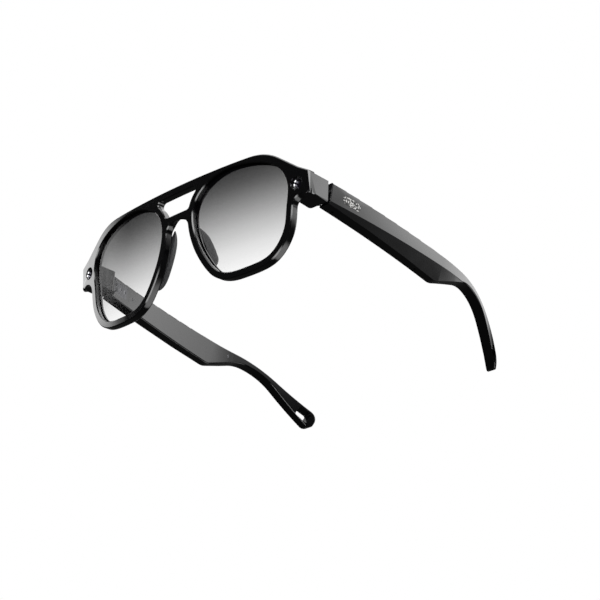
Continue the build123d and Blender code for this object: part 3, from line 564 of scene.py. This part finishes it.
class Finishes:
    """Every finish, built once and found by its slot."""

    def __init__(self) -> None:
        """Builds the materials."""
        steel = TurnedMetal("hinge_steel", (0.12, 0.12, 0.125), (0.5, 0.5, 0.52))
        bezel = TurnedMetal("bright_bezel", (0.45, 0.45, 0.47), (0.8, 0.8, 0.82), rough=0.16)
        module = PolishedPlastic("module_black", base=(0.006, 0.006, 0.006), worn=(0.05, 0.05, 0.05),
                                 rough_low=0.35, rough_high=0.55, coat=0.0)
        cell = CircuitFinish("cell_wrap", (0.35, 0.35, 0.37), (0.45, 0.45, 0.47), pitch=0.004, rough=0.3)
        contact = TurnedMetal("plated_contact", (0.8, 0.58, 0.26), (0.95, 0.78, 0.45), rough=0.2)
        self.by_slot: dict[Slot, bpy.types.Material] = {
            Slot.GLOSS: PolishedPlastic().material(),
            Slot.LENS: GradientLens().material(),
            Slot.PAD: Silicone("nose_silicone", (0.018, 0.018, 0.02)).material(),
            Slot.RUBBER: Silicone("button_rubber", (0.01, 0.01, 0.011), rough=0.3).material(),
            Slot.STEEL: steel.material(),
            Slot.BEZEL: bezel.material(),
            Slot.CONTACT: contact.material(),
            Slot.PORT_GLASS: PortGlass().material(),
            Slot.EMBLEM: KnurledInlayPaintedShade().material(),
            Slot.MESH: Perforated().material(),
            Slot.MODULE: module.material(),
            Slot.BOARD: CircuitFinish("circuit_board", (0.01, 0.06, 0.03), (0.03, 0.16, 0.07)).material(),
            Slot.FLEX: CircuitFinish("amber_flex", (0.30, 0.11, 0.02), (0.5, 0.22, 0.06)).material(),
            Slot.CELL: cell.material(),
        }

    def __getitem__(self, slot: Slot) -> bpy.types.Material:
        """The material of a slot."""
        return self.by_slot[slot]


# ---- Modelling with the operators ----


class Bench:
    """Operator calls that several pieces share."""

    @staticmethod
    def clear() -> None:
        """Deselects everything in object mode."""
        if bpy.context.object is not None and bpy.context.object.mode != "OBJECT":
            bpy.ops.object.mode_set(mode="OBJECT")
        bpy.ops.object.select_all(action="DESELECT")

    @staticmethod
    def pick(piece: bpy.types.Object) -> None:
        """Selects one object alone and makes it active."""
        Bench.clear()
        piece.hide_set(False)
        piece.select_set(True)
        bpy.context.view_layer.objects.active = piece

    @staticmethod
    def settle(piece: bpy.types.Object) -> None:
        """Puts the object's place into its mesh."""
        Bench.pick(piece)
        bpy.ops.object.transform_apply(location=True, rotation=True, scale=True)

    @staticmethod
    def copy_node(node: str, name: str, angle: float = 28.0) -> bpy.types.Object:
        """Copies a node's mesh, joins its loose triangles and smooths its round stretches.

        Args:
            node: The node.
            name: The new piece's name.
            angle: Edges sharper than this stay sharp, in degrees.

        Returns:
            The new piece.
        """
        source = frame["nodes"][node]
        piece = bpy.data.objects.new(name, source.data.copy())
        bpy.context.scene.collection.objects.link(piece)
        Bench.pick(piece)
        bpy.ops.object.mode_set(mode="EDIT")
        bpy.ops.mesh.select_all(action="SELECT")
        bpy.ops.mesh.remove_doubles(threshold=MERGE_REACH)
        bpy.ops.object.mode_set(mode="OBJECT")
        bpy.ops.mesh.customdata_custom_splitnormals_clear()
        bpy.ops.object.shade_smooth_by_angle(angle=math.radians(angle))
        level = piece.modifiers.new("level", "WEIGHTED_NORMAL")
        level.keep_sharp = True
        level.weight = SHARP_WEIGHT
        Bench.finish_modifiers(piece)
        return piece

    @staticmethod
    def finish_modifiers(piece: bpy.types.Object) -> None:
        """Applies every modifier of a piece in order."""
        Bench.pick(piece)
        for modifier in list(piece.modifiers):
            bpy.ops.object.modifier_apply(modifier=modifier.name)

    @staticmethod
    def ride(piece: bpy.types.Object, like: str, slot: Slot, finishes: Finishes,
             replaces: bool = False) -> bpy.types.Object:
        """Dresses a piece and makes it ride on the body of a node.

        Args:
            piece: The piece.
            like: The node whose body it rides on.
            slot: Its material slot.
            finishes: The materials.
            replaces: Whether it stands for that node.

        Returns:
            The piece.
        """
        piece.data.materials.clear()
        piece.data.materials.append(finishes[slot])
        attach(piece, frame["nodes"][like]["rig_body"])
        if replaces:
            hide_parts(like)
        return piece


@dataclass
class SubAssembly:
    """A group of pieces: some nodes are copied and smoothed, and the hidden ones are kept."""

    finishes: Finishes
    copied: dict[str, Slot] = field(default_factory=dict)
    kept: dict[str, Slot] = field(default_factory=dict)

    def build(self) -> None:
        """Builds the smooth copies and dresses the nodes that are kept."""
        for node, slot in self.copied.items():
            piece = Bench.copy_node(node, f"{node}_finished")
            self.shape(node, piece)
            Bench.ride(piece, node, slot, self.finishes, replaces=True)
            LOG.info("piece %s, %d faces", piece.name, len(piece.data.polygons))
        for node, slot in self.kept.items():
            self.dress(frame["nodes"][node], slot)

    def dress(self, node: bpy.types.Object, slot: Slot) -> None:
        """Gives a kept node its finish."""
        node.data.materials.clear()
        node.data.materials.append(self.finishes[slot])

    def shape(self, node: str, piece: bpy.types.Object) -> None:
        """Works on a copy before it is dressed. The plain sub-assembly leaves it as it is."""


@dataclass
class FrontMoulding(SubAssembly):
    """The front with its brow cover and end-piece covers."""

    copied: dict[str, Slot] = field(default_factory=lambda: {
        "front_frame": Slot.GLOSS, "brow_cover": Slot.GLOSS, "endpiece_cover_left": Slot.GLOSS,
        "endpiece_cover_right": Slot.GLOSS})
    kept: dict[str, Slot] = field(default_factory=lambda: {"brow_flex": Slot.FLEX})


@dataclass
class LensPair(SubAssembly):
    """Both lenses."""

    copied: dict[str, Slot] = field(default_factory=lambda: {"lens_left": Slot.LENS, "lens_right": Slot.LENS})


@dataclass
class NosePads(SubAssembly):
    """Both nose pads, moulded soft all over."""

    copied: dict[str, Slot] = field(default_factory=lambda: {
        "nose_pad_left": Slot.PAD, "nose_pad_right": Slot.PAD})
    voxel: float = 0.0003
    rounds: int = 8

    def shape(self, node: str, piece: bpy.types.Object) -> None:
        """Rounds the pad's edges by remeshing and smoothing it."""
        Bench.pick(piece)
        remesh = piece.modifiers.new("close", "REMESH")
        remesh.mode = "VOXEL"
        remesh.voxel_size = self.voxel
        remesh.use_smooth_shade = True
        soften = piece.modifiers.new("soften", "SMOOTH")
        soften.iterations = self.rounds
        soften.factor = 0.5
        Bench.finish_modifiers(piece)


@dataclass
class RoundPort(SubAssembly):
    """A port in an end piece: bezel, window and module."""

    port: str = "camera"

    def __post_init__(self) -> None:
        """Lists the port's own nodes."""
        self.copied = {f"{self.port}_bezel": Slot.BEZEL, f"{self.port}_window": Slot.PORT_GLASS}
        self.kept = {f"{self.port}_module": Slot.MODULE}


@dataclass
class Hinge(SubAssembly):
    """A hinge: two leaves, a pin and the screws."""

    side: Side = Side.LEFT

    def __post_init__(self) -> None:
        """Lists the hinge's own nodes."""
        side = self.side.value
        self.copied = {f"hinge_front_leaf_{side}": Slot.STEEL, f"hinge_temple_leaf_{side}": Slot.STEEL,
                       f"hinge_pin_{side}": Slot.STEEL, f"leaf_screws_{side}": Slot.STEEL}
        if self.side is Side.LEFT:
            self.copied["front_leaf_screws"] = Slot.STEEL


@dataclass
class Temple(SubAssembly):
    """A temple: shell, inner cover, emblem, meshes and what it holds."""

    side: Side = Side.LEFT

    def __post_init__(self) -> None:
        """Lists the temple's own nodes."""
        side = self.side.value
        self.copied = {f"temple_shell_{side}": Slot.GLOSS, f"inner_cover_{side}": Slot.GLOSS,
                       f"emblem_{side}": Slot.EMBLEM, f"speaker_mesh_{side}": Slot.MESH,
                       f"cover_screws_{side}": Slot.STEEL}
        self.kept = {f"speaker_{side}": Slot.MODULE, f"microphones_{side}": Slot.MODULE,
                     f"temple_flex_{side}": Slot.FLEX, f"core_wire_{side}": Slot.STEEL}


@dataclass
class Controls(SubAssembly):
    """The switch, the button and the charging contacts, with the electronics that they serve."""

    copied: dict[str, Slot] = field(default_factory=lambda: {
        "power_switch": Slot.RUBBER, "capture_button": Slot.RUBBER, "charging_contacts": Slot.CONTACT})
    kept: dict[str, Slot] = field(default_factory=lambda: {
        "switch_body": Slot.MODULE, "button_dome": Slot.STEEL, "touch_pad": Slot.FLEX,
        "main_board": Slot.BOARD, "battery": Slot.CELL})


# ---- The studio ----


@dataclass(frozen=True)
class Glow:
    """A soft glow in the room, such as a diffuser or a bounce card gives.

    Its strength falls smoothly from the cosine inner to the cosine outer, measured from its direction.
    """

    towards: tuple[float, float, float]
    strength: float
    outer: float
    inner: float


GLOWS = (
    Glow((0.35, 0.80, 0.50), 1.9, 0.87, 0.995),
    Glow((0.50, 0.55, 0.66), 0.45, 0.78, 0.95),
    Glow((-0.93, -0.17, 0.38), 3.0, 0.935, 0.985),
    Glow((0.0, 0.1, 1.0), 1.6, 0.72, 0.95),
    Glow((0.65, -0.58, 0.44), 6.0, 0.94, 0.985),
    Glow((0.387, -0.71, -0.55), 4.5, 0.94, 0.985),
    Glow((0.42, 0.667, -0.58), 1.6, 0.93, 0.985),
    Glow((-0.6, 0.45, 0.66), 1.2, 0.90, 0.98),
)


@dataclass
class Studio:
    """Camera, lights, world and floor."""

    place: tuple[float, float, float] = (0.45135, -0.49602, -0.30167)
    look: tuple[float, float, float] = (-0.60120, 0.66675, 0.44045)
    above: tuple[float, float, float] = (0.28316, -0.33767, 0.89766)
    lens: float = 94.14
    floor_drop: float = 0.0001
    room_light: float = 0.03

    def camera(self) -> None:
        """Places the camera."""
        data = bpy.data.cameras.new("view")
        data.lens = self.lens
        data.sensor_width = 36.0
        data.clip_start = 0.01
        data.clip_end = 20.0
        camera = bpy.data.objects.new("view", data)
        bpy.context.scene.collection.objects.link(camera)
        look = Vector(self.look).normalized()
        across = look.cross(Vector(self.above)).normalized()
        above = across.cross(look)
        turn = Matrix((across, above, -look)).transposed().to_4x4()
        camera.matrix_world = Matrix.Translation(self.place) @ turn
        bpy.context.scene.camera = camera

    def softbox(self, name: str, place: tuple[float, float, float], size: tuple[float, float],
                power: float) -> None:
        """Hangs one softbox that faces the glasses.

        Args:
            name: The light's name.
            place: Where it hangs.
            size: Its width and height.
            power: Its power in watts.
        """
        data = bpy.data.lights.new(name, "AREA")
        data.shape = "RECTANGLE"
        data.size, data.size_y = size
        data.energy = power
        light = bpy.data.objects.new(name, data)
        bpy.context.scene.collection.objects.link(light)
        light.location = place
        target = Vector((0.0, 0.0, 0.03)) - Vector(place)
        light.rotation_euler = target.to_track_quat("-Z", "Y").to_euler()
        light.visible_glossy = False

    def glow(self, tree: bpy.types.NodeTree, direction: bpy.types.NodeSocket,
             glow: Glow) -> bpy.types.NodeSocket:
        """Adds one glow to the room.

        Args:
            tree: The world's nodes.
            direction: Where the ray points.
            glow: The glow.

        Returns:
            The glow's strength in that direction.
        """
        near = tree.nodes.new("ShaderNodeVectorMath")
        near.operation = "DOT_PRODUCT"
        near.inputs[1].default_value = Vector(glow.towards).normalized()
        tree.links.new(direction, near.inputs[0])
        fall = tree.nodes.new("ShaderNodeMapRange")
        fall.interpolation_type = "SMOOTHSTEP"
        fall.inputs["From Min"].default_value = glow.outer
        fall.inputs["From Max"].default_value = glow.inner
        fall.inputs["To Max"].default_value = glow.strength
        tree.links.new(near.outputs["Value"], fall.inputs["Value"])
        return fall.outputs["Result"]

    def world(self) -> None:
        """White backdrop for the view and a softer even light for everything else."""
        world = bpy.data.worlds.new("white_room")
        bpy.context.scene.world = world
        world.use_nodes = True
        tree = world.node_tree
        tree.nodes.clear()
        path = tree.nodes.new("ShaderNodeLightPath")
        white = tree.nodes.new("ShaderNodeBackground")
        white.inputs["Color"].default_value = (1.0, 1.0, 1.0, 1.0)
        room = tree.nodes.new("ShaderNodeBackground")
        room.inputs["Color"].default_value = (1.0, 1.0, 1.0, 1.0)
        direction = tree.nodes.new("ShaderNodeTexCoord").outputs["Generated"]
        total = None
        for glow in GLOWS:
            lit = self.glow(tree, direction, glow)
            added = tree.nodes.new("ShaderNodeMath")
            if total is None:
                added.inputs[0].default_value = self.room_light
            else:
                tree.links.new(total, added.inputs[0])
            tree.links.new(lit, added.inputs[1])
            total = added.outputs["Value"]
        tree.links.new(total, room.inputs["Strength"])
        mix = tree.nodes.new("ShaderNodeMixShader")
        out = tree.nodes.new("ShaderNodeOutputWorld")
        tree.links.new(path.outputs["Is Camera Ray"], mix.inputs["Fac"])
        tree.links.new(room.outputs["Background"], mix.inputs[1])
        tree.links.new(white.outputs["Background"], mix.inputs[2])
        tree.links.new(mix.outputs["Shader"], out.inputs["Surface"])

    def floor(self) -> None:
        """A pale floor that is clear from below, so that a low view looks up through it."""
        Bench.clear()
        bpy.ops.mesh.primitive_plane_add(size=4.0, location=(0.0, 0.0, -self.floor_drop))
        floor = bpy.context.object
        floor.name = "floor"
        Bench.settle(floor)
        sheet = Sheet("pale_floor")
        grain = sheet.group(GROUPS.grain, Fine=900.0, Slow=3.0)
        sheet.join(sheet.mix(grain.outputs["Cloud"], (0.78, 0.78, 0.78), (0.84, 0.84, 0.84)),
                   sheet.shader.inputs["Base Color"])
        sheet.shader.inputs["Roughness"].default_value = 0.7
        sheet.shader.inputs["Emission Color"].default_value = (1.0, 1.0, 1.0, 1.0)
        sheet.shader.inputs["Emission Strength"].default_value = 0.3
        sheet.bump(grain.outputs["Height"], 0.1, 0.0002)
        below = sheet.node("ShaderNodeNewGeometry")
        clear = sheet.node("ShaderNodeBsdfTransparent")
        mix = sheet.node("ShaderNodeMixShader")
        sheet.join(below.outputs["Backfacing"], mix.inputs["Fac"])
        sheet.join(sheet.shader.outputs["BSDF"], mix.inputs[1])
        sheet.join(clear.outputs["BSDF"], mix.inputs[2])
        sheet.join(mix.outputs["Shader"], sheet.output.inputs["Surface"])
        floor.data.materials.append(sheet.material)
        floor.visible_glossy = False
        floor.visible_diffuse = False

    def build(self) -> None:
        """Sets up the whole studio."""
        self.camera()
        self.world()
        self.floor()
        self.softbox("overhead", (-0.1, -0.1, 0.9), (0.9, 0.6), 6.0)
        self.softbox("low_front", (0.75, -0.55, -0.15), (0.5, 0.5), 5.0)
        bpy.context.scene.view_settings.view_transform = "Standard"


def main() -> None:
    """Builds every sub-assembly, then the studio."""
    logging.basicConfig(level=logging.INFO, format="%(message)s")
    finishes = Finishes()
    assemblies: list[SubAssembly] = [FrontMoulding(finishes), LensPair(finishes), NosePads(finishes)]
    assemblies += [RoundPort(finishes, port=port) for port in ("camera", "indicator")]
    assemblies += [Hinge(finishes, side=side) for side in Side]
    assemblies += [Temple(finishes, side=side) for side in Side]
    assemblies.append(Controls(finishes))
    for assembly in assemblies:
        assembly.build()
    Studio().build()


if __name__ == "__main__":
    main()
